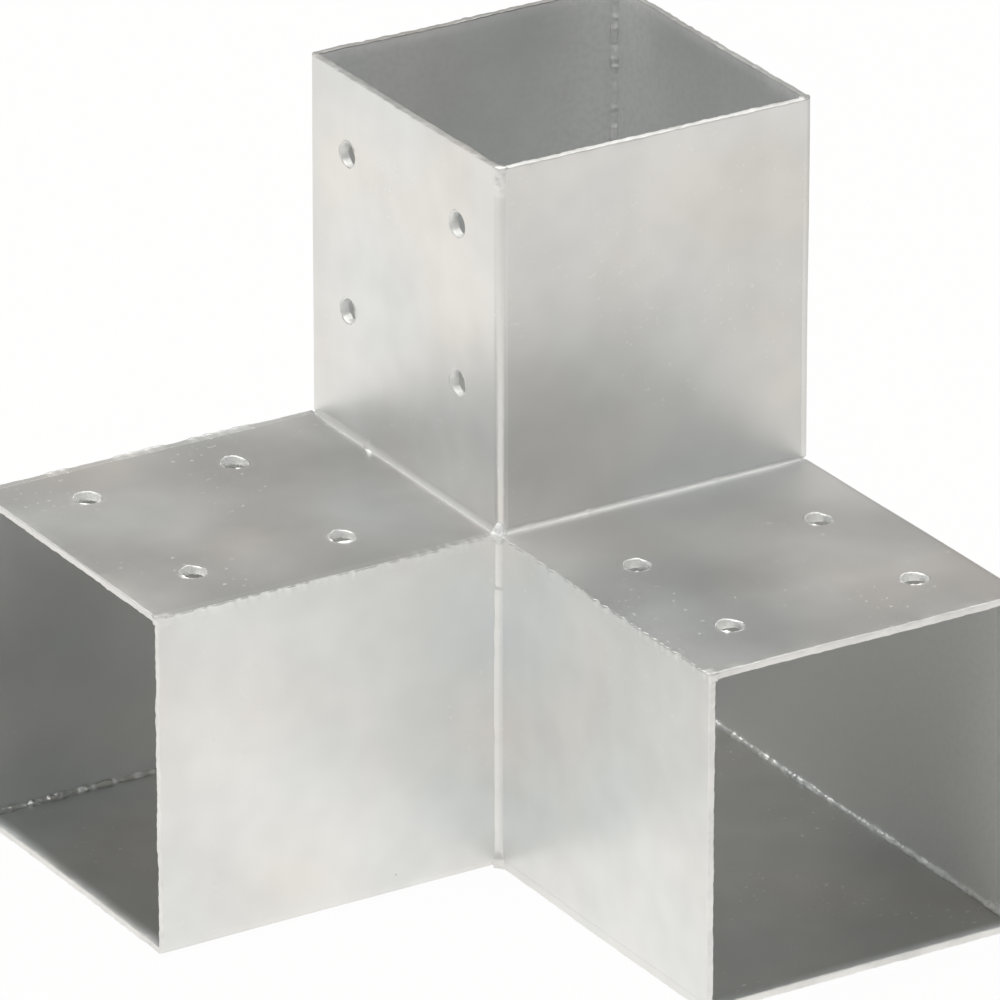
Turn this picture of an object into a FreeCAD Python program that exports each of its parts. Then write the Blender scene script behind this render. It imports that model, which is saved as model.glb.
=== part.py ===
# Y-shaped post connector. Three square sockets meet at a corner block: an upright along +Z,
# a left arm along -X and a right arm along -Y. They are welded from six pieces of sheet. Three
# are L-shaped plates, cut from a square with one slit, with the flap beside the slit folded
# up. Three are flat plates that cover the side of each socket that is still open. The origin
# lies in the bottom face, under the centreline of the upright.

import FreeCAD
import Part
import os

from FreeCAD import Vector

# Driving sizes, in millimetres

POST_WIDTH = 90.0         # width of the square post that each socket takes
POST_CLEARANCE = 1.0      # play of the post in its socket
SHEET = 2.0               # thickness of the sheet
BEND_RADIUS = 1.0         # inside radius of every fold
SOCKET_DEPTH = 101.0      # from the corner block to the mouth
HOLE_DIAMETER = 6.5       # screw holes
HOLE_GAUGE = 55.0         # spacing of the holes across a socket
HOLE_PITCH = 44.0         # spacing of the holes along a socket
HOLE_FROM_MOUTH = 22.0    # from the mouth to the first pair of holes
ROOT_GAP = 0.3            # gap between two sheet edges before welding
CORNER_ROUND = 1.2        # outer rounding of the welded corners
ROOT_LEG = 0.8            # weld that has run through the gap to the inside
ROOT_CROWN = 0.16         # how far that weld bulges past its flat chord
FILLET_LEG = 1.2          # fillet welds in the inner corners
FILLET_CROWN = 0.12       # how far a fillet weld bulges past its flat chord
KNOT_RADIUS = 2.5         # lump where the visible welds meet

# Sizes that follow from them

WIDTH = POST_WIDTH + POST_CLEARANCE + 2.0 * SHEET
HALF = WIDTH / 2.0
REACH = HALF + SOCKET_DEPTH
BEND_OUTSIDE = BEND_RADIUS + SHEET
EDGE_SETBACK = SHEET + ROOT_GAP
JOINT_START = HALF + ROOT_GAP
WELD_LENGTH = REACH - JOINT_START
SLANT = 0.5 ** 0.5
CENTRE = Vector(0.0, 0.0, HALF)
DIAGONAL = Vector(-1.0, -1.0, 1.0)


def turned(shape, steps):
    """The shape turned about the diagonal: left arm to right arm to upright to left arm."""
    copy = shape.copy()
    if steps:
        copy.rotate(CENTRE, DIAGONAL, 120.0 * steps)
    return copy


def prism(edges, direction):
    """A closed outline pushed along a direction."""
    return Part.Face(Part.Wire(edges)).extrude(direction)


def line(start, end):
    return Part.makeLine(start, end)


def bow(start, middle, end):
    return Part.Arc(start, middle, end).toShape()


# Sheets. The base sheet and its cover are drawn where they lie, the others are turned from them.

def l_plate():
    """Flat part of the base sheet. Its inner corner is cut back as relief for the fold."""
    fold = -HALF + BEND_OUTSIDE
    slit = -HALF + EDGE_SETBACK
    far = HALF - EDGE_SETBACK
    points = [
        Vector(-REACH, fold, 0.0),
        Vector(slit, fold, 0.0),
        Vector(slit, -REACH, 0.0),
        Vector(far, -REACH, 0.0),
        Vector(far, far, 0.0),
        Vector(-REACH, far, 0.0),
    ]
    outline = Part.makePolygon(points + points[:1])
    return Part.Face(outline).extrude(Vector(0.0, 0.0, SHEET))


def flap():
    """Fold and standing wall of the base sheet, the near side of the left arm."""
    outside = -HALF
    inside = outside + SHEET
    bend_end = outside + BEND_OUTSIDE
    top = WIDTH - EDGE_SETBACK

    def at(y, z):
        return Vector(-REACH, y, z)

    def on_bend(radius):
        return at(bend_end - radius * SLANT, BEND_OUTSIDE - radius * SLANT)

    edges = [
        bow(at(bend_end, 0.0), on_bend(BEND_OUTSIDE), at(outside, BEND_OUTSIDE)),
        line(at(outside, BEND_OUTSIDE), at(outside, top)),
        line(at(outside, top), at(inside, top)),
        line(at(inside, top), at(inside, BEND_OUTSIDE)),
        bow(at(inside, BEND_OUTSIDE), on_bend(BEND_RADIUS), at(bend_end, SHEET)),
        line(at(bend_end, SHEET), at(bend_end, 0.0)),
    ]
    return prism(edges, Vector(WELD_LENGTH, 0.0, 0.0))


def flap_holes():
    """Drills through the flap: two across, two along."""
    first = -REACH + HOLE_FROM_MOUTH
    through = Vector(0.0, 1.0, 0.0)
    drills = []
    for x in (first, first + HOLE_PITCH):
        for z in (HALF - HOLE_GAUGE / 2.0, HALF + HOLE_GAUGE / 2.0):
            start = Vector(x, -HALF - SHEET, z)
            drills.append(Part.makeCylinder(HOLE_DIAMETER / 2.0, 3.0 * SHEET, start, through))
    return Part.makeCompound(drills)


def folded_sheet(with_holes):
    sheet = l_plate().fuse(flap()).removeSplitter()
    if with_holes:
        sheet = sheet.cut(flap_holes())
    return sheet.Solids[0]


def cover_plate(with_holes):
    """Flat plate over the left side of the right arm."""
    height = WIDTH - 2.0 * EDGE_SETBACK
    plate = Part.makeBox(SHEET, WELD_LENGTH, height, Vector(-HALF, -REACH, EDGE_SETBACK))
    if with_holes:
        plate = plate.cut(flap_holes().mirror(Vector(0.0, 0.0, 0.0), Vector(1.0, -1.0, 0.0)))
    return plate.Solids[0]


# Welds. Each outline is drawn in two distances from the faces that it joins.

def corner_weld(at, direction):
    """Weld that fills an open outer corner, rounded outside, with its root showing inside."""
    edge = EDGE_SETBACK
    root = EDGE_SETBACK + ROOT_LEG
    middle = CORNER_ROUND * (1.0 - SLANT)
    crown = (SHEET + root) / 2.0 + ROOT_CROWN * SLANT
    edges = [
        line(at(0.0, edge), at(0.0, CORNER_ROUND)),
        bow(at(0.0, CORNER_ROUND), at(middle, middle), at(CORNER_ROUND, 0.0)),
        line(at(CORNER_ROUND, 0.0), at(edge, 0.0)),
        line(at(edge, 0.0), at(edge, SHEET)),
        line(at(edge, SHEET), at(root, SHEET)),
        bow(at(root, SHEET), at(crown, crown), at(SHEET, root)),
        line(at(SHEET, root), at(SHEET, edge)),
        line(at(SHEET, edge), at(0.0, edge)),
    ]
    return prism(edges, direction)


def near_weld():
    """Near top edge of the left arm, from the mouth to the corner block."""

    def at(from_front, from_top):
        return Vector(-REACH, -HALF + from_front, WIDTH - from_top)

    return corner_weld(at, Vector(WELD_LENGTH, 0.0, 0.0))


def cover_weld():
    """Bottom edge of the right arm's cover, from the mouth to the corner block."""

    def at(from_cover, from_base):
        return Vector(-HALF + from_cover, -REACH, from_base)

    return corner_weld(at, Vector(0.0, WELD_LENGTH, 0.0))


def seam_weld():
    """Far bottom edge, from the mouth of the left arm to the far corner."""

    def at(from_back, from_base):
        return Vector(-REACH, HALF - from_back, from_base)

    return corner_weld(at, Vector(REACH + HALF - EDGE_SETBACK, 0.0, 0.0))


def far_corner():
    """Rounded block that ends the three far seams."""
    start = HALF - EDGE_SETBACK
    tip = Vector(HALF, HALF, 0.0)
    box = Part.makeBox(EDGE_SETBACK, EDGE_SETBACK, EDGE_SETBACK, Vector(start, start, 0.0))
    sharp = [edge for edge in box.Edges if any(v.Point.isEqual(tip, 1e-6) for v in edge.Vertexes)]
    return box.makeFillet(CORNER_ROUND, sharp)


def fillet_weld():
    """Weld in the inner corner between the two arms, from the base to the near corner."""

    def at(from_right_arm, from_left_arm):
        return Vector(-HALF - from_right_arm, -HALF - from_left_arm, 0.0)

    crown = FILLET_LEG / 2.0 + FILLET_CROWN * SLANT
    edges = [
        bow(at(FILLET_LEG, 0.0), at(crown, crown), at(0.0, FILLET_LEG)),
        line(at(0.0, FILLET_LEG), at(0.0, ROOT_GAP)),
        line(at(0.0, ROOT_GAP), at(-ROOT_LEG, ROOT_GAP)),
        line(at(-ROOT_LEG, ROOT_GAP), at(ROOT_GAP, -ROOT_LEG)),
        line(at(ROOT_GAP, -ROOT_LEG), at(ROOT_GAP, 0.0)),
        line(at(ROOT_GAP, 0.0), at(FILLET_LEG, 0.0)),
    ]
    return prism(edges, Vector(0.0, 0.0, WIDTH))


# Assembly

nodes = {}

nodes["base_sheet"] = folded_sheet(False)
nodes["side_sheet"] = turned(folded_sheet(True), 1)
nodes["rear_sheet"] = turned(folded_sheet(True), 2)

nodes["right_arm_cover"] = cover_plate(False)
nodes["upright_cover"] = turned(cover_plate(False), 1)
nodes["left_arm_cover"] = turned(cover_plate(True), 2)

nodes["left_arm_near_weld"] = near_weld()
nodes["right_arm_near_weld"] = turned(near_weld(), 1)
nodes["upright_near_weld"] = turned(near_weld(), 2)

nodes["right_arm_cover_weld"] = cover_weld()
nodes["upright_cover_weld"] = turned(cover_weld(), 1)
nodes["left_arm_cover_weld"] = turned(cover_weld(), 2)

nodes["rear_base_weld"] = seam_weld()
nodes["side_base_weld"] = turned(seam_weld(), 1).cut(nodes["rear_base_weld"])
rear_corner = turned(seam_weld(), 2).fuse(far_corner())
rear_corner = rear_corner.cut([nodes["rear_base_weld"], nodes["side_base_weld"]])
nodes["rear_side_weld"] = rear_corner.removeSplitter()

knot = Part.makeSphere(KNOT_RADIUS, Vector(-HALF, -HALF, WIDTH))
nodes["weld_knot"] = knot.cut(list(nodes.values()))

nodes["arms_fillet_weld"] = fillet_weld().cut(nodes["weld_knot"])
nodes["right_arm_fillet_weld"] = turned(fillet_weld(), 1).cut(nodes["weld_knot"])
nodes["left_arm_fillet_weld"] = turned(fillet_weld(), 2).cut(nodes["weld_knot"])

os.makedirs("parts", exist_ok=True)
for name, shape in nodes.items():
    solids = sorted(shape.Solids, key=lambda solid: solid.Volume)
    solids[-1].exportStep("parts/" + name + ".step")
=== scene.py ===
"""Looks of the y-shaped post connector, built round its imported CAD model."""

import math

import bmesh
import bpy
import numpy as np
from mathutils import Matrix, Vector, noise


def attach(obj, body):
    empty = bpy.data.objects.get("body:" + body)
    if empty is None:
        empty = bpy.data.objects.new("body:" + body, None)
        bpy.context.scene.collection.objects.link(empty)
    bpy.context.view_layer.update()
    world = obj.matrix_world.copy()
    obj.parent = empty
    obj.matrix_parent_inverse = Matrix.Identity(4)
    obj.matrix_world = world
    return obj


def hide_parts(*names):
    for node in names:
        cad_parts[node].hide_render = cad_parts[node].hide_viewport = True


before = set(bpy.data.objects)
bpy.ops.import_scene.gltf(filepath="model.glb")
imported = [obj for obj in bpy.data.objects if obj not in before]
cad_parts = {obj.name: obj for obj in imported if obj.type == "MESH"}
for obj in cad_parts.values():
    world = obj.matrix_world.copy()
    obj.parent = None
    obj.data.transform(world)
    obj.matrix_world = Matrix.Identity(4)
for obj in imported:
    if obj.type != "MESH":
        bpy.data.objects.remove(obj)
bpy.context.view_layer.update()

# Without a seed, noise_vector differs from run to run
noise.seed_set(11)

MM = 0.001

# Sizes of the CAD model, in millimetres
WIDTH = 95.0                     # outside width of a socket, and height of the two arms
HALF = WIDTH / 2.0
REACH = 148.5                    # from the upright's centreline to the mouth of an arm
SHEET = 2.0
SETBACK = 2.3                    # from an outer corner to the sheet edges welded there
GAP = 0.3                        # between two sheet edges
JOINT = HALF + GAP
HOLE_RADIUS = 3.25
HOLES_ALONG = (-126.5, -82.5)
HOLES_ACROSS = (20.0, 75.0)

# Sizes of the drawn detail, in millimetres
BEND = 2.4                       # outside radius of a fold, sharper than in the CAD model
BEND_STEPS = 8
GRID_ALONG = 3.0                 # grid of the sheets
GRID_ACROSS = 0.8
RIM_LINE = 0.6                   # first grid line inside a rim
RIM_ROUND = 0.35
RIM_ANGLE = 50.0                 # degrees; sharper edges are rounded
PATCH = 6.0                      # half side of the square round a hole
PATCH_STEPS = 16
STATION = 0.4                    # spacing of the sections along a weld

# Rings round a hole: distance from its edge, share of the way to the square patch
HOLE_RINGS = ((0.0, 0.0), (0.42, 0.0), (0.6, 0.0), (0.85, 0.0), (1.15, 0.0), (1.6, 0.3))

# Unevenness of the whole part: wavelength, size, seed
SWAYS = ((55.0, 0.22, 1), (17.0, 0.04, 2))
LEAN = 1.2                       # how far the right arm's far side leans out at the mouth
LEAN_CURVE = 0.7

# Zinc burr round a hole
BURR_REACH = 1.3                 # from the hole's edge
BURR_RING = 0.75                 # width of the raised ring
BURR_EDGE = 0.5                  # width of the part that is drawn into the hole
BURR_LIP = 0.3                   # width of the part that narrows the hole

# Burr: mean size, share of its unevenness, share of the drip on its left
BURR_HEIGHT = (0.12, 0.42, 0.5)
BURR_INWARD = (0.28, 0.3, 0.3)
BURR_WHITE = (0.35, 0.3, 0.7)

# Zinc on the rims of the mouths
RIM_REACH = 0.95
RIM_THINNED = 0.4                # on the inner side of the sheet

# Rims: mean size, share of the broad unevenness, share of the fine one
RIM_PUSH = (0.04, 0.14, 0.17)
RIM_BULGE = (-0.05, 0.10, 0.17)
RIM_WHITE = (0.25, 0.5, 0.4)
UPRIGHT_WHITE = (0.55, 0.6, 0.6)

# Tones. Zinc above 0 is pale and dull, below 0 dark; in places the same value stands for painted
# light above 0 and painted shade below 0. Shine is painted light: a brighter metal colour.
CLOUD_FOOT = WIDTH - 30.0        # lowest painted light inside the upright
CLOUD_RISE = 40.0                # height over which it sets in
CLOUD_LENGTH = 26.0
CLOUD_PAINTED_LIGHT = (0.42, 0.55)        # mean and swing
ARM_PAINTED_LIGHT = (1.0, 0.4)           # painted light inside the sockets, at the corner block and far out
ARM_FADE = 70.0
WALL_PAINTED_LIGHT = (0.1, 0.6)           # painted light on the right arm's inner wall, at the corner block and at the mouth
WALL_FADE = 100.0
INNER_FLOOR_PAINTED_SHADE = (-1.0, -0.6)        # painted shade on the inner floor, in the right arm and at the back
FLOOR_FADE = (-HALF - 40.0, HALF)
FOOT_PAINTED_SHADE = -0.33                # painted shade on the upright's right face, from the foot up
FOOT_FADE = 60.0
# Painted shade over the top of the left arm
LEFT_TOP_PAINTED_SHADE = -0.12
BESIDE_PAINTED_LIGHT = 0.75              # painted light on the right arm's top, next to the upright
BESIDE_FADE = 55.0


# Points

def turned(points, steps):
    """Points turned about the diagonal: left arm to right arm to upright to left arm."""
    points = np.array(points, float)
    for _ in range(steps % 3):
        x, y, z = points.T
        points = np.stack([HALF - z, x, HALF - y], axis=1)
    return points


def wobble(points, wavelength, size, seed):
    """A smooth random shift at each point, the same for all pieces that meet there."""
    offset = Vector((seed * 17.3, seed * 5.1, seed * 11.7))
    shifts = [noise.noise_vector(Vector(p) / wavelength + offset) for p in points]
    return np.array(shifts, float).reshape(-1, 3) * size


def uneven_size(sizes, first, second):
    """A mean size with its shares of two kinds of unevenness."""
    return sizes[0] + sizes[1] * first + sizes[2] * second


def warped(points):
    """Slight unevenness of the welded sheets, with the right arm's far side leaning out."""
    out = np.clip((-points[:, 1] - HALF) / (REACH - HALF), 0.0, 1.0) ** LEAN_CURVE
    points = points.copy()
    points[:, 0] += LEAN * out * np.clip((points[:, 0] + HALF) / WIDTH, 0.0, 1.0)
    return points + sum(wobble(points, *sway) for sway in SWAYS)


# Sheets

def grid_lines(start, end, step, bands=()):
    """Grid positions, close to each other at the rims and across each band of holes."""
    stops = [start, start + RIM_LINE]
    for centre in bands:
        stops += [centre - PATCH, centre + PATCH]
    stops += [end - RIM_LINE, end]
    lines = [start]
    for a, b in zip(stops, stops[1:]):
        in_band = any(abs((a + b) / 2 - centre) < PATCH / 2 for centre in bands)
        count = PATCH_STEPS if in_band else max(1, round((b - a) / step))
        lines += [a + (b - a) * i / count for i in range(1, count + 1)]
    return lines


def add_skin(bm, s_lines, t_lines, place, keep=None, holes=()):
    """Adds a grid of quads to bm, with round holes in it. place maps a grid point to space."""
    points = {}

    def vert(s, t):
        key = (round(s, 4), round(t, 4))
        if key not in points:
            points[key] = bm.verts.new(place(s, t))
        return points[key]

    for s0, s1 in zip(s_lines, s_lines[1:]):
        for t0, t1 in zip(t_lines, t_lines[1:]):
            ms, mt = (s0 + s1) / 2, (t0 + t1) / 2
            if keep and not keep(ms, mt):
                continue
            if any(abs(ms - hs) < PATCH and abs(mt - ht) < PATCH for hs, ht in holes):
                continue
            bm.faces.new([vert(s0, t0), vert(s1, t0), vert(s1, t1), vert(s0, t1)])

    for hs, ht in holes:
        side = [-PATCH + 2 * PATCH * i / PATCH_STEPS for i in range(PATCH_STEPS)]
        square = [(d, -PATCH) for d in side] + [(PATCH, d) for d in side]
        square += [(-d, PATCH) for d in side] + [(-PATCH, -d) for d in side]
        rings = []
        for margin, share in HOLE_RINGS:
            radius = HOLE_RADIUS + margin
            ring = []
            for ds, dt in square:
                length = math.hypot(ds, dt)
                cs, ct = ds / length * radius, dt / length * radius
                ring.append(vert(hs + cs + (ds - cs) * share, ht + ct + (dt - ct) * share))
            rings.append(ring)
        rings.append([vert(hs + ds, ht + dt) for ds, dt in square])
        for inner, outer in zip(rings, rings[1:]):
            for i in range(len(inner)):
                j = (i + 1) % len(inner)
                bm.faces.new([outer[i], outer[j], inner[j], inner[i]])


def thickened(bm):
    """The skin given its thickness and rounded rims: points in millimetres, normals and faces."""
    bmesh.ops.remove_doubles(bm, verts=bm.verts, dist=1e-4)
    mesh = bpy.data.meshes.new("skin")
    bm.to_mesh(mesh)
    bm.free()
    piece = bpy.data.objects.new("skin", mesh)
    bpy.context.scene.collection.objects.link(piece)
    solid = piece.modifiers.new("thickness", "SOLIDIFY")
    solid.thickness = SHEET
    solid.offset = -1.0
    solid.use_even_offset = True
    rims = piece.modifiers.new("rims", "BEVEL")
    rims.width = RIM_ROUND
    rims.segments = 3
    rims.limit_method = "ANGLE"
    rims.angle_limit = math.radians(RIM_ANGLE)
    graph = bpy.context.evaluated_depsgraph_get()
    done = bpy.data.meshes.new_from_object(piece.evaluated_get(graph))
    points = np.array([v.co[:] for v in done.vertices])
    normals = np.array([v.normal[:] for v in done.vertices])
    faces = [tuple(p.vertices) for p in done.polygons]
    bpy.data.objects.remove(piece)
    bpy.data.meshes.remove(mesh)
    bpy.data.meshes.remove(done)
    return points, normals, faces


def folded_sheet(with_holes):
    """The base sheet: an L-shaped plate and the flap folded up beside its slit."""
    fold, slit, far = -HALF + BEND, -HALF + SETBACK, HALF - SETBACK
    arc = BEND * math.pi / 2
    height = WIDTH - SETBACK - BEND
    bm = bmesh.new()

    flap_s = grid_lines(-REACH, -JOINT, GRID_ALONG, HOLES_ALONG)
    across = [z - BEND + arc for z in HOLES_ACROSS]
    flap_t = [arc * i / BEND_STEPS for i in range(BEND_STEPS + 1)]
    flap_t += grid_lines(arc, arc + height, GRID_ACROSS, across)[2:]

    def on_flap(s, t):
        if t < arc:
            turn = t / BEND
            return (s, fold - BEND * math.sin(turn), BEND - BEND * math.cos(turn))
        return (s, -HALF, BEND + t - arc)

    holes = [(s, t) for s in HOLES_ALONG for t in across] if with_holes else []
    add_skin(bm, flap_s, flap_t, on_flap, holes=holes)

    plate_s = flap_s + [slit] + grid_lines(slit, far, GRID_ACROSS)[1:]
    plate_t = grid_lines(-REACH, fold, GRID_ALONG)[:-1] + grid_lines(fold, far, GRID_ACROSS)

    def on_plate(t, s):
        return (s, t, 0.0)

    add_skin(bm, plate_t, plate_s, on_plate, keep=lambda t, s: t > fold or s > slit)
    return thickened(bm)


def cover_plate(with_holes):
    """The cover over the left side of the right arm."""
    bm = bmesh.new()
    lines_s = grid_lines(-REACH, -JOINT, GRID_ALONG, HOLES_ALONG)
    lines_t = grid_lines(SETBACK, WIDTH - SETBACK, GRID_ACROSS, HOLES_ACROSS)
    holes = [(s, t) for s in HOLES_ALONG for t in HOLES_ACROSS] if with_holes else []

    def on_cover(t, s):
        return (-HALF, s, t)

    add_skin(bm, lines_t, lines_s, on_cover, holes=[(t, s) for s, t in holes])
    return thickened(bm)


def punched_holes(points, zinc_and_painted_light, painted_light, wall, left, seed):
    """The uneven zinc burr round each hole, thicker on its left, pale with a painted highlight on
    it. wall is the axis through it.
    """
    points, zinc_and_painted_light, painted_light = points.copy(), zinc_and_painted_light.copy(), painted_light.copy()
    along = 1 - wall
    depth = points[:, wall] + HALF
    for s in HOLES_ALONG:
        for z in HOLES_ACROSS:
            ds, dz = points[:, along] - s, points[:, 2] - z
            reach = np.hypot(ds, dz)
            margin = reach - HOLE_RADIUS
            near = (depth < SHEET + 0.1) & (margin < BURR_REACH) & (margin > -0.2)
            for i in np.nonzero(near)[0]:
                way = Vector((ds[i], dz[i], 0.0)).normalized()
                spot = Vector((way.x * 1.5, way.y * 1.5, seed + 0.37 * s + 0.11 * z))
                uneven = noise.noise(spot) + 0.5 * noise.noise(spot * 2.7)
                drip = max(0.0, way.x * left[0] + way.y * left[1]) ** 2
                lift = uneven_size(BURR_HEIGHT, uneven, drip)
                m = max(0.0, margin[i])
                outer = max(0.0, 1.0 - depth[i] / (0.6 * SHEET))
                ring = math.sin(math.pi * min(1.0, m / BURR_RING)) ** 2
                edge = max(0.0, 1.0 - m / BURR_EDGE) ** 2
                points[i, wall] += outer * (0.3 * edge - max(0.0, lift) * ring)
                if m < BURR_LIP:
                    narrow = uneven_size(BURR_INWARD, uneven, drip) * min(1.0, depth[i] / SHEET)
                    points[i, along] -= way.x * narrow
                    points[i, 2] -= way.y * narrow
                white = max(0.0, 1.0 - m / uneven_size(BURR_WHITE, uneven, drip))
                zinc_and_painted_light[i] = max(zinc_and_painted_light[i], min(0.4, 0.7 * white))
                # Painted highlight on the pale burr
                painted_light[i] = max(painted_light[i], min(1.0, 1.6 * white))
    return points, zinc_and_painted_light, painted_light


def inner_side(points, normals, steps):
    """Tells which points lie on the side of a sheet that faces into the sockets."""
    final = turned(points, steps) - (0.0, 0.0, HALF)
    facing = turned(points + normals, steps) - turned(points, steps)
    across = np.abs(np.abs(final) - (HALF - SHEET)) < 0.3
    return ((facing * np.sign(final) < -0.7) & across).any(axis=1)


def painted_light_inside(points, normals, zinc_and_painted_light, steps):
    """Clouds of paler zinc on the inner faces of the upright, partly patchy zinc and partly painted
    light from its mouth, rising towards the top.
    """
    final = turned(points, steps)
    facing = turned(points + normals, steps) - final
    inside = facing[:, 0] * final[:, 0] + facing[:, 1] * final[:, 1] < -10.0
    inside &= final[:, 2] > CLOUD_FOOT
    zinc_and_painted_light = zinc_and_painted_light.copy()
    spots = np.nonzero(inside)[0]
    cloud = wobble(final[spots] * (1.0, 1.0, 0.4), CLOUD_LENGTH, 1.0, 40)[:, 0]
    rise = np.clip((final[spots, 2] - CLOUD_FOOT) / CLOUD_RISE, 0.0, 1.0)
    pale = np.clip(CLOUD_PAINTED_LIGHT[0] + CLOUD_PAINTED_LIGHT[1] * cloud, 0.0, 0.9)
    zinc_and_painted_light[spots] = np.maximum(zinc_and_painted_light[spots], rise * pale)
    return zinc_and_painted_light


def rough_rims(points, normals, zinc_and_painted_light, painted_light, steps, seed):
    """Lumpy pale zinc on the cut mouths, which are a little thinner than the sheet, with a painted
    highlight on it.
    On the upright only the front right rim is pale and has it. The points come back turned into
    place."""
    inner = inner_side(points, normals, steps)
    points, zinc_and_painted_light, painted_light = points.copy(), zinc_and_painted_light.copy(), painted_light.copy()
    for axis in (0, 1):
        near = np.clip(1.0 - (points[:, axis] + REACH) / RIM_REACH, 0.0, 1.0)
        rim = np.nonzero(near)[0]
        if not len(rim):
            continue
        final = turned(points[rim], steps)
        broad = wobble(final, 9.0, 1.0, seed)
        fine = wobble(final, 1.5, 1.0, seed + 1) + wobble(final, 4.0, 0.5, seed + 2)
        push = uneven_size(RIM_PUSH, broad[:, 0], fine[:, 0])
        bulge = uneven_size(RIM_BULGE, broad[:, 1], fine[:, 1]) - RIM_THINNED * inner[rim]
        points[rim, axis] += near[rim] * push
        points[rim] += normals[rim] * (near[rim] * bulge)[:, None]
        white = uneven_size(RIM_WHITE, broad[:, 2], fine[:, 2])
        pale = np.ones(len(rim))
        if final[:, 2].min() > REACH:
            pale = np.where(final[:, 1] < -HALF + SHEET + 0.5, 1.0, 0.0)
            white = pale * uneven_size(UPRIGHT_WHITE, broad[:, 2], fine[:, 2])
        cut = np.clip((near[rim] - 0.55) / 0.35, 0.0, 1.0)
        zinc_and_painted_light[rim] = np.maximum(zinc_and_painted_light[rim], cut * np.clip(white, 0.0, 1.0))
        # Painted highlight on the pale rims
        painted_light[rim] = np.maximum(painted_light[rim], cut * pale)
    return turned(points, steps), zinc_and_painted_light, painted_light


def painted_light_beside_upright(points):
    """Painted light: a brighter metal colour on top of the right arm, next to the upright."""
    out = -points[:, 1] - HALF
    top = (points[:, 2] > WIDTH - 0.5) & (out > 0.0)
    return np.where(top, BESIDE_PAINTED_LIGHT * np.clip(1.0 - out / BESIDE_FADE, 0.0, 1.0), 0.0)


# Pieces

def add_piece(name, points, faces, zinc_and_painted_light, painted_light, node, material):
    """Adds a piece in place of a node, with its zinc, painted light and painted shade at each
    point.
    """
    mesh = bpy.data.meshes.new(name)
    mesh.from_pydata((warped(points) * MM).tolist(), [], faces)
    for key, values in (("zinc_and_painted_light", zinc_and_painted_light), ("painted_light", painted_light)):
        amount = mesh.attributes.new(key, "FLOAT", "POINT")
        amount.data.foreach_set("value", np.array(values, np.float32))
    mesh.validate()
    mesh.materials.append(material)
    mesh.polygons.foreach_set("use_smooth", [True] * len(mesh.polygons))
    mesh.update()
    piece = bpy.data.objects.new(name, mesh)
    bpy.context.scene.collection.objects.link(piece)
    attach(piece, "root")
    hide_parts(node)


# Materials

def shader(name):
    material = bpy.data.materials.new(name)
    material.use_nodes = True
    tree = material.node_tree
    tree.nodes.clear()
    output = tree.nodes.new("ShaderNodeOutputMaterial")
    return material, tree, output


def link(tree, source, target):
    tree.links.new(source, target)


def noise_node(tree, vector, scale, detail, rough=0.5):
    texture = tree.nodes.new("ShaderNodeTexNoise")
    texture.inputs["Scale"].default_value = scale
    texture.inputs["Detail"].default_value = detail
    texture.inputs["Roughness"].default_value = rough
    link(tree, vector, texture.inputs["Vector"])
    return texture.outputs["Fac"]


def remap(tree, value, low, high, to_low, to_high):
    span = tree.nodes.new("ShaderNodeMapRange")
    span.inputs["From Min"].default_value = low
    span.inputs["From Max"].default_value = high
    span.inputs["To Min"].default_value = to_low
    span.inputs["To Max"].default_value = to_high
    link(tree, value, span.inputs["Value"])
    return span.outputs["Result"]


def math_node(tree, operation, first, second):
    step = tree.nodes.new("ShaderNodeMath")
    step.operation = operation
    for socket, value in zip(step.inputs, (first, second)):
        if isinstance(value, (int, float)):
            socket.default_value = value
        else:
            link(tree, value, socket)
    return step.outputs[0]


def ramp(tree, value, stops):
    colours = tree.nodes.new("ShaderNodeValToRGB")
    elements = colours.color_ramp.elements
    while len(elements) < len(stops):
        elements.new(0.5)
    for element, (position, colour) in zip(elements, stops):
        element.position = position
        element.color = (*colour, 1.0)
    link(tree, value, colours.inputs["Fac"])
    return colours.outputs["Color"]


def mixed(tree, blend, factor, first, second):
    mix = tree.nodes.new("ShaderNodeMix")
    mix.data_type = "RGBA"
    mix.blend_type = blend
    pairs = ((mix.inputs[0], factor), (mix.inputs[6], first), (mix.inputs[7], second))
    for socket, value in pairs:
        if isinstance(value, (int, float)):
            socket.default_value = value
        elif isinstance(value, tuple):
            socket.default_value = (*value, 1.0)
        else:
            link(tree, value, socket)
    return mix.outputs[2]


def specks(tree, vector, scale, size, light_share, dark_share):
    """Small round dots, light ones in one share of the cells and dark ones in another."""
    cells = tree.nodes.new("ShaderNodeTexVoronoi")
    cells.inputs["Scale"].default_value = scale
    link(tree, vector, cells.inputs["Vector"])
    parts = tree.nodes.new("ShaderNodeSeparateColor")
    link(tree, cells.outputs["Color"], parts.inputs["Color"])
    dot = remap(tree, cells.outputs["Distance"], size * 0.6, size, 1.0, 0.0)
    light = math_node(tree, "LESS_THAN", parts.outputs["Red"], light_share)
    dark = math_node(tree, "GREATER_THAN", parts.outputs["Red"], 1.0 - dark_share)
    return math_node(tree, "MULTIPLY", dot, light), math_node(tree, "MULTIPLY", dot, dark)


def stored(tree, key):
    value = tree.nodes.new("ShaderNodeAttribute")
    value.attribute_name = key
    return value.outputs["Fac"]


# Scales of the patterns in the metal, per metre
CLOUDS, MOTTLE, DOTS, CLUSTERS, FLECKS, SATIN = 19.0, 75.0, 140.0, 36.0, 620.0, 30.0

METAL_CLOUDS = (
    (0.36, (0.83018, 0.86211, 0.87344)),
    (0.50, (0.84666, 0.86520, 0.86726)),
    (0.64, (0.86520, 0.86314, 0.85490)),
)
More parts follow.
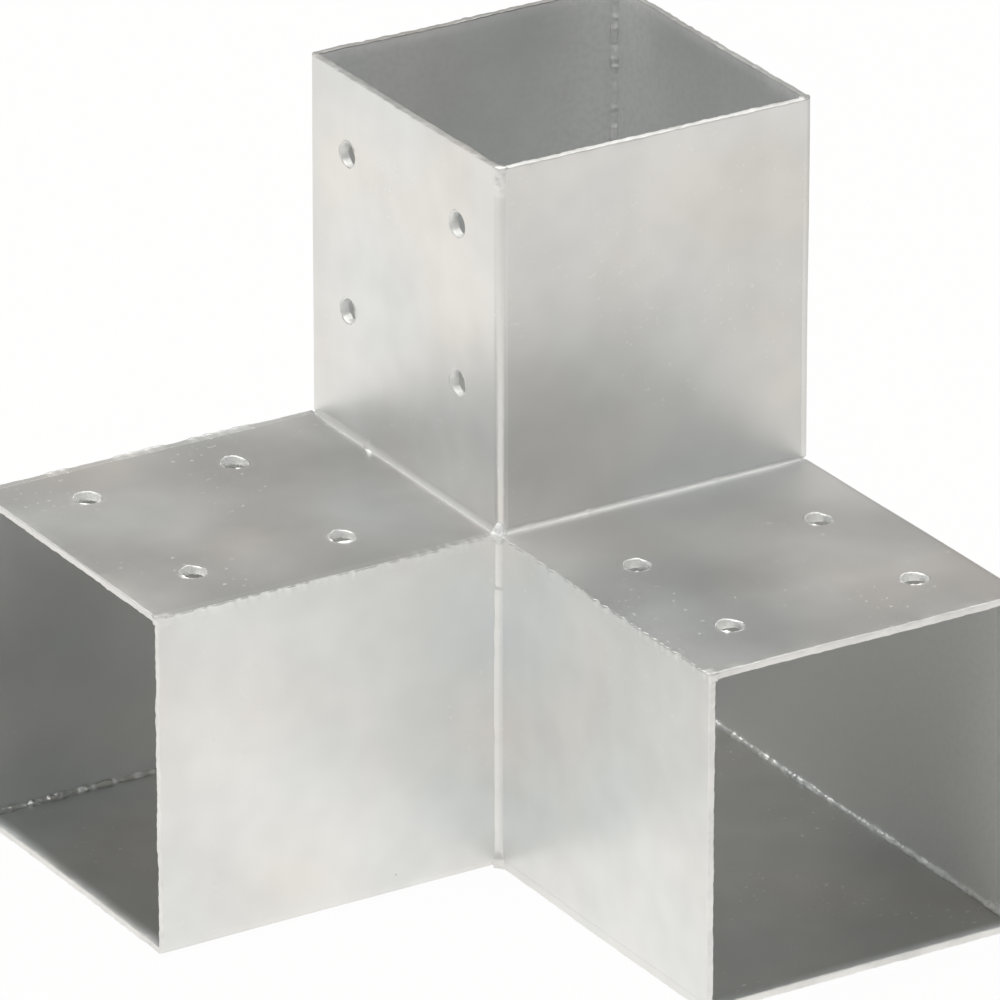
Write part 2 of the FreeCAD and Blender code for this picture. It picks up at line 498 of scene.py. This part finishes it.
# Pale zinc, also used as painted light; dark dirt on seams, also used as painted shade; a brighter
# metal colour used as painted light
PALE_ZINC_AND_PAINTED_LIGHT = ((0.34, (0.885, 0.905, 0.91)), (0.58, (0.95, 0.97, 0.97)))
DIRT_AND_PAINTED_SHADE = ((0.0, (0.625, 0.610, 0.588)), (1.0, (1.0, 1.0, 1.0)))
PAINTED_LIGHT_COLOUR = (0.952, 0.961, 0.960)
LIGHT_DOT = (0.95, 0.95, 0.94)
DARK_DOT = (0.30, 0.30, 0.28)
ROUGHNESS = (0.31, 0.40)
ROUGHER = 0.16                   # added where zinc or painted light is 1
ZINC_METALLIC = 0.5
FLECK_ZINC = 0.5


def galvanised(name):
    """Satin zinc on steel, with the zinc and the painted light and shade stored at each point of
    the piece.
    """
    material, tree, output = shader(name)
    where = tree.nodes.new("ShaderNodeTexCoord").outputs["Object"]
    bsdf = tree.nodes.new("ShaderNodeBsdfPrincipled")
    zinc_and_painted_light, painted_light = stored(tree, "zinc_and_painted_light"), stored(tree, "painted_light")

    cloud = noise_node(tree, where, CLOUDS, 1.0, 0.5)
    colour = ramp(tree, cloud, METAL_CLOUDS)
    mottle = remap(tree, noise_node(tree, where, MOTTLE, 1.0, 0.6), 0.3, 0.7, 0.965, 1.025)
    colour = mixed(tree, "MULTIPLY", 1.0, colour, mottle)
    light, dark = specks(tree, where, DOTS, 0.065, 0.04, 0.03)
    colour = mixed(tree, "MIX", math_node(tree, "MULTIPLY", light, 0.7), colour, LIGHT_DOT)
    clusters = remap(tree, noise_node(tree, where, CLUSTERS, 0.0), 0.48, 0.62, 0.0, 1.0)
    fine = noise_node(tree, where, FLECKS, 1.0)
    flecks = math_node(tree, "MULTIPLY", remap(tree, fine, 0.69, 0.75, 0.0, 1.0), clusters)
    colour = mixed(tree, "MIX", math_node(tree, "MULTIPLY", dark, 0.5), colour, DARK_DOT)
    pale = ramp(tree, fine, PALE_ZINC_AND_PAINTED_LIGHT)
    # Below 0 the colour darkens: dirt and painted shade on the dark seams, painted shade elsewhere
    dirt_and_painted_shade = ramp(tree, remap(tree, zinc_and_painted_light, -1.0, 0.0, 0.0, 1.0), DIRT_AND_PAINTED_SHADE)
    colour = mixed(tree, "MULTIPLY", 1.0, colour, dirt_and_painted_shade)
    # Painted light: towards a brighter metal colour
    colour = mixed(tree, "MIX", painted_light, colour, PAINTED_LIGHT_COLOUR)
    zinc_and_painted_light = math_node(tree, "MAXIMUM", zinc_and_painted_light, math_node(tree, "MULTIPLY", flecks, FLECK_ZINC))
    # Pale zinc, which also stands in for painted light inside the upright and on the right arm's
    # inner wall
    link(tree, mixed(tree, "MIX", zinc_and_painted_light, colour, pale), bsdf.inputs["Base Color"])
    link(tree, remap(tree, zinc_and_painted_light, 0.0, 1.0, 1.0, ZINC_METALLIC), bsdf.inputs["Metallic"])

    rough = remap(tree, noise_node(tree, where, SATIN, 0.0), 0.3, 0.7, *ROUGHNESS)
    for amount in (zinc_and_painted_light, painted_light):
        rough = math_node(tree, "ADD", rough, math_node(tree, "MULTIPLY", amount, ROUGHER))
    link(tree, rough, bsdf.inputs["Roughness"])
    link(tree, bsdf.outputs["BSDF"], output.inputs["Surface"])
    return material


SHEET_MATERIAL = galvanised("galvanised_sheet_detail")
WELD_MATERIAL = galvanised("weld_bead_detail")

# The six sheets: node, drawing, turns, axis through the holes, way to the photograph's left
# across the holes

plain_fold, drilled_fold = folded_sheet(False), folded_sheet(True)
plain_cover, drilled_cover = cover_plate(False), cover_plate(True)
SHEETS = (
    ("base_sheet", plain_fold, 0, None, None),
    ("side_sheet", drilled_fold, 1, 1, (0.9, 0.25)),
    ("rear_sheet", drilled_fold, 2, 1, (0.0, -0.9)),
    ("right_arm_cover", plain_cover, 0, None, None),
    ("upright_cover", plain_cover, 1, None, None),
    ("left_arm_cover", drilled_cover, 2, 0, (-0.3, -0.9)),
)
for seed, (node, (points, normals, faces), steps, drilled, left) in enumerate(SHEETS):
    zinc_and_painted_light = np.zeros(len(points))
    inner = inner_side(points, normals, steps)
    final = turned(points, steps)
    out = np.maximum(-final[:, 0], -final[:, 1]) - HALF
    in_arms = inner & (final[:, 2] < WIDTH)
    # Painted light inside the sockets, brightest at the corner block
    painted_light = np.where(in_arms, np.interp(out, (0.0, ARM_FADE), ARM_PAINTED_LIGHT), 0.0)
    if node == "side_sheet":
        # Painted light beside the upright
        painted_light = np.maximum(painted_light, painted_light_beside_upright(final))
        # Painted light on the right arm's inner wall, paler towards the mouth
        wall = in_arms & (final[:, 0] > 0.0)
        painted_light = np.where(wall, 1.0, painted_light)
        zinc_and_painted_light = np.where(wall, np.interp(out, (0.0, WALL_FADE), WALL_PAINTED_LIGHT), zinc_and_painted_light)
    if node == "upright_cover":
        # Painted shade on the upright's right face, darker towards the foot
        from_mouth = REACH + HALF - final[:, 2]
        zinc_and_painted_light = np.where(inner, zinc_and_painted_light, FOOT_PAINTED_SHADE * np.clip(from_mouth / FOOT_FADE, 0.0, 1.0))
    if node == "left_arm_cover":
        # Painted shade over the top of the left arm
        zinc_and_painted_light = np.where(inner, zinc_and_painted_light, LEFT_TOP_PAINTED_SHADE)
    if drilled is not None:
        points, zinc_and_painted_light, painted_light = punched_holes(points, zinc_and_painted_light, painted_light, drilled, left, 3 + seed)
    # Painted light inside the upright
    zinc_and_painted_light = painted_light_inside(points, normals, zinc_and_painted_light, steps)
    if node == "base_sheet":
        # Painted shade on the inner floor of the sockets
        floor = inner & (normals[:, 2] > 0.9)
        zinc_and_painted_light[floor] = np.interp(final[floor, 1], FLOOR_FADE, INNER_FLOOR_PAINTED_SHADE)
        painted_light[floor] = 0.0
    points, zinc_and_painted_light, painted_light = rough_rims(points, normals, zinc_and_painted_light, painted_light, steps, 10 + 2 * seed)
    add_piece(
        node + "_detail", points, faces, zinc_and_painted_light, painted_light, node, SHEET_MATERIAL
    )


# Welds. Each section is drawn in two distances from the faces that the weld joins, with the zinc
# at each point; white zinc also gets a painted highlight, and below 0 the weld darkens with painted
# shade.

EASE = 0.01                      # a weld stands proud of the sheet by this much
CORNER_STEPS = 12
ROOT_SHARES = (0.2, 0.4, 0.6, 0.8)
FILLET_STEPS = 11

# Rounded end of a weld: shares of its length and of the section
ROUND_END = ((0.45, 0.93), (0.8, 0.7), (1.0, 0.3))


def swell(s, spots):
    """Height of the lumps at s. A spot is a place along the weld, a half-length and a height."""
    return sum(h * math.exp(-((s - place) / reach) ** 2) for place, reach, h in spots)


def grain(seed, s, across, wavelength):
    return noise.noise(Vector((s / wavelength, across, seed * 7.31)))


def corner_section(s, seed, look):
    """Outline of a weld on an outer corner: rounded outside, root showing inside."""
    beads = swell(s, look["beads"])
    lump = swell(s, look["lumps"]) + beads
    spatter = look["rough"] + swell(s, look["spatter"])
    white = min(1.0, look["white"] + 7.0 * beads + 2.5 * swell(s, look["spatter"]))
    toe = 0.45 + 0.8 * lump
    jagged = grain(seed, s, 6.0, 3.4) + 0.3 * grain(seed, s, 8.0, 1.4)
    rounding = min(SETBACK, look["corner"] * (1.0 + look["uneven"] * jagged))
    lip = 0.45 + 1.3 * grain(seed + 6, s, 0.0, 3.0) + 0.8 * grain(seed + 6, s, 4.0, 1.2)
    lip_m, lip_n = (share * max(0.0, lip) for share in look["lip"])
    turns = [(0.0, SETBACK, 0.1), (0.0, (SETBACK + rounding) / 2, 0.25)]
    for i in range(CORNER_STEPS + 1):
        turn = i / CORNER_STEPS * math.pi / 2
        hump = 0.35 + 0.65 * math.sin(2 * turn) ** 0.5
        turns.append((rounding * (1 - math.cos(turn)), rounding * (1 - math.sin(turn)), hump))
    turns += [((SETBACK + rounding) / 2, 0.0, 0.25), (SETBACK, 0.0, 0.1)]
    end = SETBACK + toe
    toe_line = ((0.15, end), (-EASE, end - 0.04), (-EASE, end - 0.1))
    outline = [(m, n, 0.0) for m, n in toe_line]
    last = len(turns) - 1
    for k, (m, n, hump) in enumerate(turns):
        rough = grain(seed, s, 0.3 * k, 2.1) + 0.7 * grain(seed + 1, s, 0.6 * k, 0.9)
        height = look["crown"] + spatter * rough
        push = (hump * height + (0.2 + 0.8 * hump) * lump) * math.sqrt(0.5)
        lean = k / last - 0.5
        outline.append((
            m - push * (1 - lean) - min(1.0, 1.6 * hump) * lip_m - EASE,
            n - push * (1 + lean) - min(1.0, 1.6 * hump) * lip_n - EASE,
            white * min(1.0, 1.4 * hump),
        ))
    outline += [(n, m, 0.0) for m, n in reversed(toe_line)]
    uneven = 1.0 + 0.7 * grain(seed + 2, s, 0.0, 5.0) + 0.35 * grain(seed + 3, s, 0.0, 1.3)
    leg = SETBACK + max(0.12, look["root"] * uneven)
    inside = SHEET - 0.08
    tone = look["inside"] * max(0.0, 1.0 + 2.2 * grain(seed + 5, s, 0.0, 2.6))
    outline += [(SETBACK + 0.02, 0.7 * SHEET, 0.0), (leg, inside, 0.5 * tone)]
    drop = leg - inside
    for share in ROOT_SHARES:
        bulge = 0.5 * drop * share * (1 - share)
        bulge *= 1.6 + 1.8 * grain(seed + 4, s, 3.0 * share, 1.9)
        outline.append((leg - drop * share + bulge, inside + drop * share + bulge, tone))
    outline += [(inside, leg, 0.5 * tone), (0.7 * SHEET, SETBACK + 0.02, 0.0)]
    return outline


def fillet_section(s, seed, look):
    """Outline of a weld in an inner corner: hollow, running out softly on one of its two faces."""
    lump = swell(s, look["lumps"])
    beads = swell(s, look["beads"])
    wide = np.interp(s, *look["legs"])
    crisp = wide * (1.0 + 0.16 * grain(seed, s, 0.0, 5.0)) + 0.9 * lump + 0.5 * beads
    soft = look["soft"] * wide * (1.0 + 0.12 * grain(seed, s, 5.0, 6.0)) + 0.9 * lump + 0.5 * beads
    white = min(1.0, np.interp(s, *look["white"]) + 4.0 * beads)
    curve = []
    for i in range(FILLET_STEPS + 1):
        share = i / FILLET_STEPS
        c = (1 - share) ** 2 * crisp + 2 * share * (1 - share) * look["belly"] * crisp
        f = 2 * share * (1 - share) * look["belly"] * soft + share ** 2 * soft
        hump = 4 * share * (1 - share)
        rough = grain(seed, s, 3.0 * share, 2.4) + 0.5 * grain(seed + 1, s, 6.0 * share, 0.9)
        ripple = math.cos(2 * math.pi * (s + 0.5 * (share - 0.5) ** 2) / look["pitch"])
        height = look["ripple"] * ripple + look["rough"] * rough + 0.55 * lump + beads
        height *= hump * math.sqrt(0.5)
        curve.append((c + height, f + height, white * min(1.0, 2.2 * (1 - share))))
    leg = -look["root"] * (1.0 + 0.5 * grain(seed + 2, s, 0.0, 4.0))
    sunk, slot = 0.15, GAP + 0.1
    outline = [(crisp + sunk, -sunk, 0.0)] + curve + [
        (-sunk, soft + sunk, 0.0), (-sunk, slot, 0.0), (leg, slot, 0.2),
        (0.62 * leg, 0.62 * leg, 0.3), (slot, leg, 0.2), (slot, -sunk, 0.0),
    ]
    return [(f, c, white) for c, f, white in outline] if look["soft_first"] else outline


def bead(section, origin, axes, length, seed, look, steps, blunt):
    """Points, faces and zinc of a weld along its line. blunt is the length of each rounded end."""
    along, m_way, n_way = (np.array(axis, float) for axis in axes)
    count = int(round(length / STATION))
    stations = [(length * i / count, 0.0, 1.0) for i in range(count + 1)]
    if blunt[0]:
        stations = [(0.0, -blunt[0] * d, size) for d, size in reversed(ROUND_END)] + stations
    if blunt[1]:
        stations += [(length, blunt[1] * d, size) for d, size in ROUND_END]
    points, faces, zinc_and_painted_light = [], [], []
    for s, extra, size in stations:
        outline = np.array(section(s, seed, look))
        places = outline[:, :2]
        middle = places.mean(axis=0)
        places = middle + (places - middle) * size
        base = np.array(origin) + along * (s + extra)
        points += [base + m_way * m + n_way * n for m, n in places]
        zinc_and_painted_light += list(outline[:, 2])
    ring = len(points) // len(stations)
    for i in range(len(stations) - 1):
        for k in range(ring):
            a, b = i * ring + k, i * ring + (k + 1) % ring
            faces.append((a, b, b + ring, a + ring))
    faces.append(tuple(reversed(range(ring))))
    faces.append(tuple(range(len(points) - ring, len(points))))
    points = turned(points, steps)
    return points, outward(points, faces), zinc_and_painted_light


def outward(points, faces):
    """The faces, all turned to look outward."""
    mesh = bpy.data.meshes.new("closed")
    mesh.from_pydata(points.tolist(), [], faces)
    bm = bmesh.new()
    bm.from_mesh(mesh)
    bmesh.ops.recalc_face_normals(bm, faces=bm.faces)
    faces = [tuple(v.index for v in face.verts) for face in bm.faces]
    bm.free()
    bpy.data.meshes.remove(mesh)
    return faces


def corner_look(**changes):
    """Looks of a corner weld: its rounding, its lip on each side, its lumps and its root inside."""
    look = {"corner": 0.9, "uneven": 0.3, "lip": (0.0, 0.0), "crown": 0.0, "rough": 0.04}
    look.update({"root": 0.8, "white": 0.0, "inside": 0.1, "lumps": (), "beads": (), "spatter": ()})
    look.update(changes)
    return look


def fillet_look(**changes):
    """Looks of a fillet weld. legs and white change along it: places, then values."""
    look = {"soft": 1.7, "belly": 0.3, "ripple": 0.012, "rough": 0.04, "pitch": 1.4, "root": 0.7}
    look.update({"lumps": (), "beads": (), "soft_first": False})
    look.update({"legs": ((0.0, WIDTH), (1.0, 1.0)), "white": ((0.0, WIDTH), (0.5, 0.5))})
    look.update(changes)
    return look


SOCKET = REACH - JOINT
SEAM = REACH + HALF - SETBACK
NEAR_LINE = ((-JOINT, -HALF, WIDTH), ((-1, 0, 0), (0, 1, 0), (0, 0, -1)), SOCKET)
COVER_LINE = ((-HALF, -JOINT, 0), ((0, -1, 0), (1, 0, 0), (0, 0, 1)), SOCKET)
SEAM_LINE = ((HALF - SETBACK, HALF, 0), ((-1, 0, 0), (0, -1, 0), (0, 0, 1)), SEAM)
FILLET_LINE = ((-HALF, -HALF, WIDTH), ((0, 0, -1), (-1, 0, 0), (0, -1, 0)), WIDTH)
SHORT_LINE = (*FILLET_LINE[:2], WIDTH - BEND)

left_near = corner_look(corner=0.12, uneven=0.3, lip=(0.25, 0.0), rough=0.0, root=0.25, beads=(
    (2.4, 0.7, 0.12), (4.4, 0.5, 0.16), (6.6, 0.8, 0.14), (9.4, 0.5, 0.18), (11.0, 0.5, 0.12),
    (14.2, 0.7, 0.15), (17.0, 0.5, 0.12), (20.4, 0.6, 0.13), (24.0, 0.5, 0.1), (29.0, 0.4, 0.08),
    (97.6, 0.7, 0.2), (99.8, 1.2, 0.45),
), spatter=((99.0, 1.8, 0.4),))
right_near = corner_look(corner=0.2, uneven=0.3, lip=(0.06, 0.55), rough=0.008, root=0.25, beads=(
    (4.0, 1.0, 0.12), (6.4, 0.8, 0.08), (31.0, 0.5, 0.03), (47.0, 0.5, 0.03),
    (98.2, 0.5, 0.2), (100.2, 0.9, 0.45),
), lumps=(
    (12.0, 2.6, 0.05), (33.0, 1.4, 0.03), (52.0, 1.2, 0.04), (70.0, 1.6, 0.04), (84.0, 1.1, 0.04),
))
# The upright's near weld is a little darker than the sheet: painted shade over its rounding
upright_near = corner_look(corner=2.1, uneven=0.05, rough=0.035, white=-0.25, root=0.25, beads=(
    (0.6, 2.0, 0.14), (93.8, 1.0, 0.05), (96.0, 0.6, 0.13), (97.4, 0.5, 0.24),
    (98.9, 0.6, 0.3), (100.2, 0.5, 0.3),
), lumps=((30.0, 2.5, 0.03),), spatter=((98.0, 1.9, 0.7),))
left_cover = corner_look(corner=1.0, rough=0.07, white=0.15, lumps=(
    (20.0, 1.6, 0.3), (23.4, 1.9, 0.42), (27.8, 2.2, 0.36), (31.4, 1.5, 0.42), (35.6, 2.2, 0.4),
    (45.6, 1.6, 0.32), (49.2, 2.1, 0.44), (54.6, 2.3, 0.4), (58.4, 1.4, 0.3),
    (74.8, 1.5, 0.34), (78.2, 1.7, 0.4), (99.2, 1.2, 0.25),
), spatter=((28.0, 9.0, 0.12), (52.0, 7.0, 0.12), (77.0, 4.0, 0.12)))
right_cover = corner_look(corner=0.45, uneven=0.4, rough=0.015, lumps=(
    (14.0, 1.2, 0.06), (38.0, 1.5, 0.06), (61.0, 1.3, 0.08),
))
upright_cover = corner_look(corner=2.25, uneven=0.03, rough=0.01)
# dark_root is a dark seam darkened further by painted shade that dims its glints; pale_root is pale
# zinc that also gets a painted highlight
dark_root = corner_look(corner=1.3, crown=0.04, rough=0.06, root=1.0, inside=-1.2)
rough_root = corner_look(corner=1.3, crown=0.04, rough=0.06, root=1.0, inside=0.08)
pale_root = corner_look(corner=1.3, crown=0.04, rough=0.08, root=1.1, inside=1.9)

# The twelve welds: node, section, line, turns, looks, lengths of the rounded ends

WELDS = (
    ("left_arm_near_weld", corner_section, NEAR_LINE, 0, left_near, (0.0, 0.4)),
    ("right_arm_near_weld", corner_section, NEAR_LINE, 1, right_near, (0.0, 0.4)),
    ("upright_near_weld", corner_section, NEAR_LINE, 2, upright_near, (0.0, 0.35)),
    ("right_arm_cover_weld", corner_section, COVER_LINE, 0, right_cover, (0.3, 0.25)),
    ("upright_cover_weld", corner_section, COVER_LINE, 1, upright_cover, (0.0, 0.1)),
    ("left_arm_cover_weld", corner_section, COVER_LINE, 2, left_cover, (0.0, 0.25)),
    ("rear_base_weld", corner_section, SEAM_LINE, 0, dark_root, (1.7, 0.2)),
    ("side_base_weld", corner_section, SEAM_LINE, 1, rough_root, (1.7, 0.2)),
    ("rear_side_weld", corner_section, SEAM_LINE, 2, pale_root, (1.7, 0.2)),
    ("arms_fillet_weld", fillet_section, FILLET_LINE, 0, fillet_look(
        legs=((0.0, 13.4, 14.3, 15.2, WIDTH), (1.15, 1.15, 0.95, 1.35, 1.4)), rough=0.02, soft=1.4,
        white=((0.0, 88.0, 92.0, WIDTH), (0.35, 0.25, 0.9, 0.9)),
        lumps=((92.6, 1.5, 0.7),),
    ), (0.0, 0.2)),
    ("right_arm_fillet_weld", fillet_section, SHORT_LINE, 1, fillet_look(
        legs=((0.0, 86.0, 92.0), (0.8, 0.7, 0.35)), rough=0.03, soft=1.5,
        white=((0.0, 3.0, WIDTH), (0.3, 0.75, 0.6)),
        beads=((9.0, 0.9, 0.10), (27.0, 0.8, 0.12), (44.0, 1.1, 0.1), (66.0, 0.9, 0.1)),
    ), (0.0, 0.0)),
    ("left_arm_fillet_weld", fillet_section, SHORT_LINE, 2, fillet_look(
        legs=((0.0, 86.0, 92.0), (0.9, 0.85, 0.4)), soft_first=True, soft=2.1, rough=0.015,
        white=((0.0, WIDTH), (0.6, 0.55)),
        lumps=((65.0, 0.9, 0.7),),
    ), (0.0, 0.0)),
)
for seed, (node, section, line, steps, look, blunt) in enumerate(WELDS):
    points, faces, zinc_and_painted_light = bead(section, *line, 3 + 5 * seed, look, steps, blunt)
    zinc_and_painted_light = np.array(zinc_and_painted_light)
    # The white zinc on the welds also gets a painted highlight
    painted_light = np.clip(1.5 * zinc_and_painted_light, 0.0, 1.0)
    # Painted light beside the upright on this weld too
    if node == "right_arm_near_weld":
        painted_light = np.maximum(painted_light, painted_light_beside_upright(points))
    zinc_and_painted_light = np.where(zinc_and_painted_light > 0.0, 0.5 * zinc_and_painted_light, zinc_and_painted_light)
    add_piece(node + "_detail", points, faces, zinc_and_painted_light, painted_light, node, WELD_MATERIAL)


KNOT_RADIUS = 1.8
KNOT_FLAT = 0.45                 # share of its height that it loses along its broad side's normal
KNOT_ARMS = (
    (-1, 0, 0.1, 0.7), (0, -1, 0, 0.4), (0, 0, 1, 1.6),
    (0, 0.9, 0.3, 0.3), (0.9, 0, 0.3, 0.3), (-0.2, -0.2, -1, 1.1),
)
KNOT_LUMPS = ((2.6, 0.2), (5.5, 0.13), (11.0, 0.05))


def knot():
    """The lump where the visible welds meet, drawn out along each of them."""
    bm = bmesh.new()
    bmesh.ops.create_icosphere(bm, subdivisions=5, radius=1.0)
    broad = Vector((-0.42, -0.60, 0.68)).normalized()
    points = []
    for vert in bm.verts:
        way = vert.co.normalized()
        radius = KNOT_RADIUS
        for x, y, z, size in KNOT_ARMS:
            lean = max(0.0, way.dot(Vector((x, y, z)).normalized()))
            radius += size * lean ** 6
        radius += sum(size * noise.noise(way * pitch) for pitch, size in KNOT_LUMPS)
        points.append(way * radius - KNOT_FLAT * radius * way.dot(broad) * broad + 0.5 * broad)
    faces = [tuple(v.index for v in face.verts) for face in bm.faces]
    bm.free()
    return np.array(points) + np.array((-HALF + 0.1, -HALF + 0.1, WIDTH - 0.1)), faces


points, faces = knot()
# The knot is pale zinc all over, with a painted highlight
pale = np.ones(len(points))
add_piece("weld_knot_detail", points, faces, pale, pale, "weld_knot", WELD_MATERIAL)

# Camera, at the photograph's viewing angle

VIEW = (0.4770, 0.7796, -0.4059)
LENS = 399.06
SENSOR = 36.0

# From the near corner, in metres
CAMERA_RIGHT, CAMERA_UP, CAMERA_BACK = 0.000293, 0.008742, 2.850

forward = Vector(VIEW).normalized()
right = forward.cross(Vector((0.0, 0.0, 1.0))).normalized()
up = right.cross(forward)
near_corner = Vector((-HALF, -HALF, WIDTH)) * MM
camera_data = bpy.data.cameras.new("camera")
camera_data.lens = LENS
camera_data.sensor_width = SENSOR
camera_data.clip_end = 50.0
camera = bpy.data.objects.new("camera", camera_data)
axes = Matrix((right, up, -forward)).transposed().to_4x4()
camera.matrix_world = Matrix.Translation(
    near_corner + CAMERA_RIGHT * right + CAMERA_UP * up - CAMERA_BACK * forward
) @ axes
bpy.context.scene.collection.objects.link(camera)
bpy.context.scene.camera = camera

# Floor. The camera sees it white, and the metal mirrors a soft glow from it.

FLOOR_SIZE = 12.0
FLOOR_LEVEL = -0.0006
FLOOR_COLOUR = (0.90, 0.89, 0.87, 1.0)
GLOW_COLOUR = (0.94, 0.905, 0.86)
SEEN_SHARE, MIRRORED_SHARE = 0.965, 0.85

floor_mesh = bpy.data.meshes.new("floor")
quarters = ((-1, -1), (1, -1), (1, 1), (-1, 1))
corners = [(FLOOR_SIZE * x, FLOOR_SIZE * y, FLOOR_LEVEL) for x, y in quarters]
floor_mesh.from_pydata(corners, [], [(0, 1, 2, 3)])
floor = bpy.data.objects.new("floor", floor_mesh)
bpy.context.scene.collection.objects.link(floor)
material, tree, output = shader("floor_white")
matte = tree.nodes.new("ShaderNodeBsdfDiffuse")
matte.inputs["Color"].default_value = FLOOR_COLOUR
path = tree.nodes.new("ShaderNodeLightPath")
surface = matte.outputs[0]
place = tree.nodes.new("ShaderNodeTexCoord").outputs["Object"]
away = tree.nodes.new("ShaderNodeVectorMath")
away.operation = "LENGTH"
link(tree, place, away.inputs[0])


def floor_fade(way, low, high, to_low, to_high):
    """Changes across the floor in one direction."""
    across = tree.nodes.new("ShaderNodeVectorMath")
    across.operation = "DOT_PRODUCT"
    link(tree, place, across.inputs[0])
    across.inputs[1].default_value = way
    return remap(tree, across.outputs["Value"], low, high, to_low, to_high)


# Way, distances in metres and strengths of the fades of the mirrored glow
POOL_FADES = (
    ((0.9, 0.4, 0.0), 0.16, 0.5, 1.0, 0.7),
    ((-0.7, -0.7, 0.0), 0.08, 0.25, 1.0, 1.1),
    ((0.3, -0.95, 0.0), 0.24, 0.36, 1.0, 0.95),
)
near_part = remap(tree, away.outputs["Value"], 0.10, 0.30, 0.14, 0.0)
pool = math_node(tree, "ADD", floor_fade((-0.5, 0.85, 0.0), -0.25, 0.25, 0.915, 1.0), near_part)
for fade in POOL_FADES:
    pool = math_node(tree, "MULTIPLY", pool, floor_fade(*fade))
glows = (
    (path.outputs["Is Camera Ray"], SEEN_SHARE, (1.0, 1.0, 1.0), None),
    (path.outputs["Is Glossy Ray"], MIRRORED_SHARE, GLOW_COLOUR, pool),
)
for rays, share, colour, strength in glows:
    glow = tree.nodes.new("ShaderNodeEmission")
    glow.inputs["Color"].default_value = (*colour, 1.0)
    glow.inputs["Strength"].default_value = 1.0
    if strength is not None:
        link(tree, strength, glow.inputs["Strength"])
    blend = tree.nodes.new("ShaderNodeMixShader")
    link(tree, math_node(tree, "MULTIPLY", rays, share), blend.inputs[0])
    link(tree, surface, blend.inputs[1])
    link(tree, glow.outputs[0], blend.inputs[2])
    surface = blend.outputs[0]
link(tree, surface, output.inputs["Surface"])
floor_mesh.materials.append(material)

# Light. Each step of the sky is a height and a strength.

SKY_STEPS = ((0.0, 0.345), (0.60, 0.36), (0.80, 0.85), (0.94, 1.25))
SKY_TINTS = ((0.2, (1.0, 0.985, 0.96)), (0.8, (1.03, 0.985, 0.925)))
LAMP_COLOUR = (1.0, 0.985, 0.96)
LAMP_POWER = 32.0
LAMP_SIZE = 3.0
LAMP_PLACE = (-0.4, 0.3, 2.6)
LAMP_TARGET = (0.0, 0.0, 0.1)
BOUNCES = 6

world = bpy.data.worlds.new("studio")
world.use_nodes = True
bpy.context.scene.world = world
tree = world.node_tree
direction = tree.nodes.new("ShaderNodeTexCoord").outputs["Generated"]
parts = tree.nodes.new("ShaderNodeSeparateXYZ")
link(tree, direction, parts.inputs[0])
sky_stops = [(height, (level, level, level)) for height, level in SKY_STEPS]
sky = ramp(tree, parts.outputs["Z"], sky_stops)


def toward(way, low, high):
    """Changes across the sky, from low behind to high in one direction."""
    aim = tree.nodes.new("ShaderNodeVectorMath")
    aim.operation = "DOT_PRODUCT"
    link(tree, direction, aim.inputs[0])
    aim.inputs[1].default_value = way
    return remap(tree, aim.outputs["Value"], -1.0, 1.0, low, high)


sky = mixed(tree, "MULTIPLY", 1.0, sky, toward((-0.52, 0.85, 0.0), 0.90, 1.02))
tint = ramp(tree, toward((0.52, 0.85, 0.0), 0.0, 1.0), SKY_TINTS)
link(tree, mixed(tree, "MULTIPLY", 1.0, sky, tint), tree.nodes["Background"].inputs["Color"])

lamp_data = bpy.data.lights.new("overhead", "AREA")
lamp_data.shape = "DISK"
lamp_data.size = LAMP_SIZE
lamp_data.energy = LAMP_POWER
lamp_data.color = LAMP_COLOUR
lamp = bpy.data.objects.new("overhead", lamp_data)
lamp.location = LAMP_PLACE
lamp.rotation_euler = (Vector(LAMP_TARGET) - lamp.location).to_track_quat("-Z", "Y").to_euler()
bpy.context.scene.collection.objects.link(lamp)

bpy.context.scene.view_settings.view_transform = "Standard"
bpy.context.scene.cycles.max_bounces = BOUNCES
bpy.context.scene.cycles.glossy_bounces = BOUNCES
